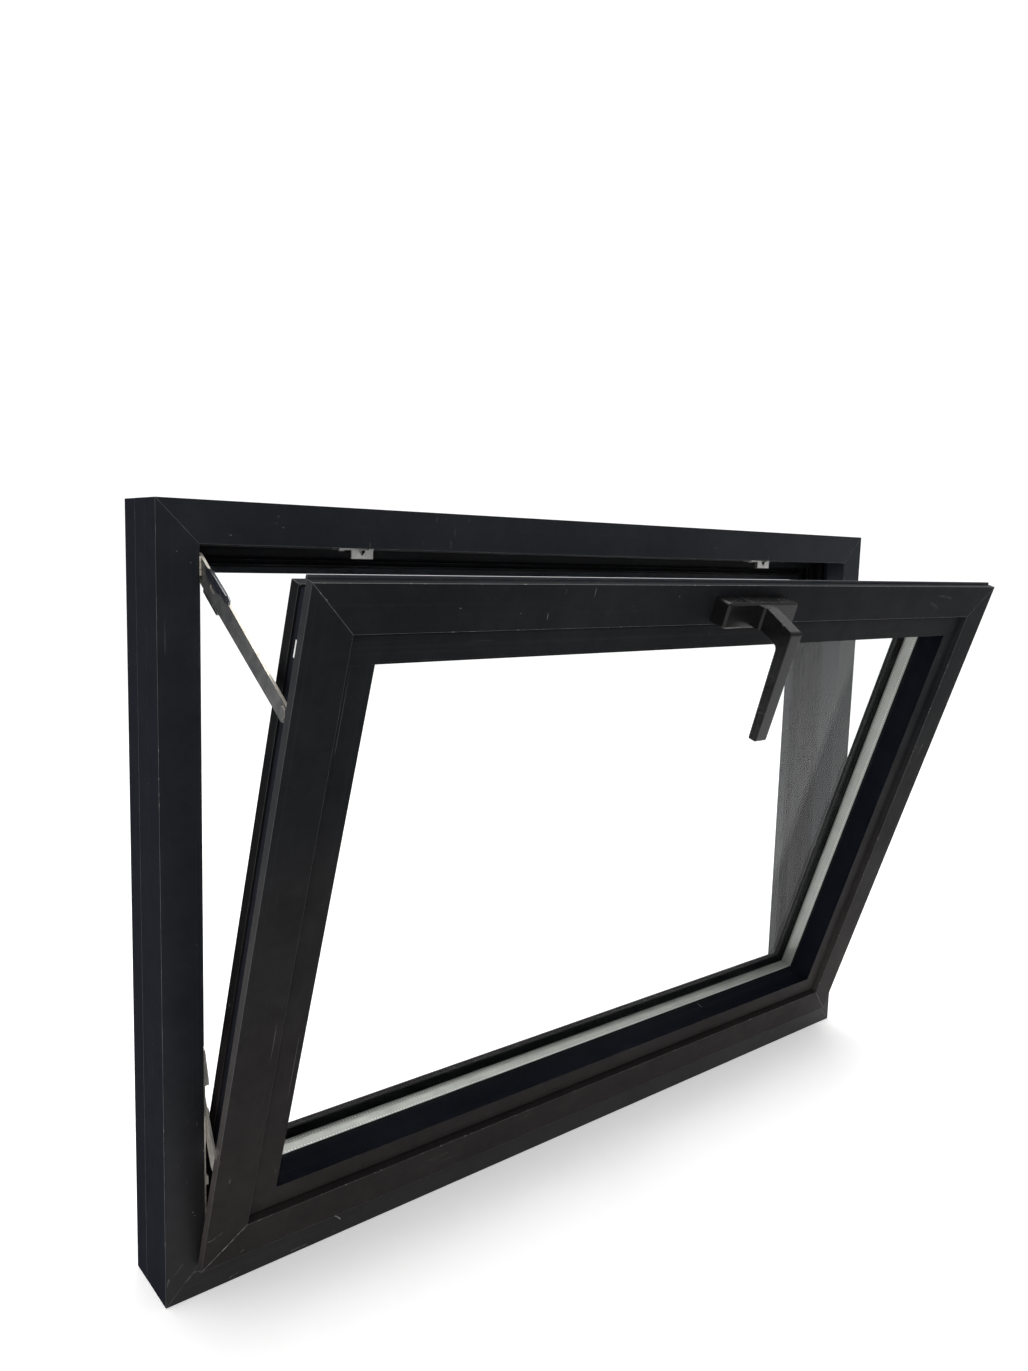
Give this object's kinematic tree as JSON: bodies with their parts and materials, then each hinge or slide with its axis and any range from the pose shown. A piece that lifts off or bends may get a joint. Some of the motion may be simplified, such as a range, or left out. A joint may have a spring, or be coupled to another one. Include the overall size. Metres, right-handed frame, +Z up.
{
  "type": "bottom-hung window",
  "caption": "Double-glazed aluminium window whose sash is hinged along its foot and leans into the room on a side stay, with a lever handle on its top rail.",
  "frame": {"origin": "middle of the underside of the sill's room-side profile", "axes": "+X to the right seen from the room, +Y towards the outside, +Z up"},
  "size_m": [0.986, 0.331, 0.7],
  "materials": {
    "frame_coat": "satin powder coat",
    "sash_coat": "satin powder coat",
    "bead_coat": "satin powder coat",
    "thermal_plastic": "glass-filled polyamide",
    "cleat_aluminium": "as pressed",
    "seal_rubber": "extruded",
    "glazing_rubber": "extruded",
    "cap_plastic": "moulded",
    "keep_zinc": "bright zinc",
    "screw_steel": "zinc plated",
    "bracket_zinc": "zinc plated",
    "hinge_steel": "stainless",
    "pin_steel": "turned",
    "clear_glass": "float glass",
    "spacer_aluminium": "mill finish, perforated",
    "sealant_rubber": "cured sealant",
    "block_plastic": "moulded",
    "rest_block_zinc": "bright zinc",
    "handle_coat": "satin powder coat",
    "base_zinc": "die cast",
    "rod_zinc": "mill finish",
    "cam_steel": "turned",
    "arm_steel": "zinc plated",
    "clip_zinc": "dark plated",
    "slider_zinc": "die cast"
  },
  "bodies": {
    "frame": {"frame_head": "frame_coat", "frame_sill": "frame_coat", "frame_jamb_left": "frame_coat", "frame_jamb_right": "frame_coat", "frame_thermal_strips": "thermal_plastic", "frame_corner_cleats": "cleat_aluminium", "frame_centre_gasket": "seal_rubber", "frame_stop_gasket": "seal_rubber", "frame_drain_caps": "cap_plastic", "keep_left": "keep_zinc", "keep_right": "keep_zinc", "keep_screws": "screw_steel", "stay_bracket": "bracket_zinc", "hinge_plate_left": "hinge_steel", "hinge_plate_right": "hinge_steel", "frame_hardware_screws": "screw_steel"},
    "sash": {"sash_top_rail": "sash_coat", "sash_bottom_rail": "sash_coat", "sash_stile_left": "sash_coat", "sash_stile_right": "sash_coat", "sash_thermal_strips": "thermal_plastic", "sash_corner_cleats": "cleat_aluminium", "sash_overlap_gasket": "seal_rubber", "bead_top": "bead_coat", "bead_bottom": "bead_coat", "bead_left": "bead_coat", "bead_right": "bead_coat", "glass_inner": "clear_glass", "glass_outer": "clear_glass", "glass_spacer": "spacer_aluminium", "glass_sealant": "sealant_rubber", "glazing_gasket_inner": "glazing_rubber", "glazing_gasket_outer": "glazing_rubber", "setting_blocks": "block_plastic", "hinge_leaf_left": "hinge_steel", "hinge_leaf_right": "hinge_steel", "hinge_pins": "pin_steel", "sash_hardware_screws": "screw_steel", "stay_rest_block": "rest_block_zinc", "handle_cover": "handle_coat", "handle_base": "base_zinc", "handle_screws": "screw_steel"},
    "lever": {"handle_lever": "handle_coat", "handle_spindle": "pin_steel"},
    "lock_rod": {"lock_rod": "rod_zinc", "lock_cams": "cam_steel"},
    "stay_arm": {"stay_arm": "arm_steel", "stay_clip": "clip_zinc", "stay_guide": "clip_zinc"},
    "stay_slider": {"stay_slider": "slider_zinc"},
    "friction_link_left": {"friction_link_left": "hinge_steel"},
    "friction_link_right": {"friction_link_right": "hinge_steel"}
  },
  "joints": [
    {"name": "sash_tilt", "type": "hinge", "parent": "frame", "child": "sash", "pos_m": [0, -0.02, 0.0335], "axis": [-1, 0, 0], "range_deg": [0, 17.8]},
    {"name": "handle_turn", "type": "hinge", "parent": "sash", "child": "lever", "pos_m": [0, -0.21243, 0.61811], "axis": [0, -0.9521, -0.3057], "range_deg": [0, 90]},
    {"name": "rod_slide", "type": "slide", "parent": "sash", "child": "lock_rod", "axis": [1, 0, 0], "range_m": [0, 0.01415]},
    {"name": "stay_swing", "type": "hinge", "parent": "frame", "child": "stay_arm", "pos_m": [-0.4535, -0.003, 0.647], "axis": [1, 0, 0], "range_deg": [0, 68.67]},
    {"name": "stay_slide", "type": "slide", "parent": "sash", "child": "stay_slider", "axis": [0, 0.3057, -0.9521], "range_m": [0, 0.09866]},
    {"name": "friction_swing_left", "type": "hinge", "parent": "sash", "child": "friction_link_left", "pos_m": [-0.453, -0.02499, 0.1259], "axis": [1, 0, 0], "range_deg": [0, 55.05]},
    {"name": "friction_swing_right", "type": "hinge", "parent": "sash", "child": "friction_link_right", "pos_m": [0.453, -0.02499, 0.1259], "axis": [1, 0, 0], "range_deg": [0, 55.05]}
  ],
  "couplings": [
    {"joint": "rod_slide", "follows": "handle_turn", "m_per_rad": 0.0090031},
    {"joint": "stay_swing", "follows": "sash_tilt", "ratio": 3.8572},
    {"joint": "stay_slide", "follows": "sash_tilt", "m_per_rad": 0.31754},
    {"joint": "friction_swing_left", "follows": "sash_tilt", "ratio": 3.0926},
    {"joint": "friction_swing_right", "follows": "sash_tilt", "ratio": 3.0926}
  ]
}
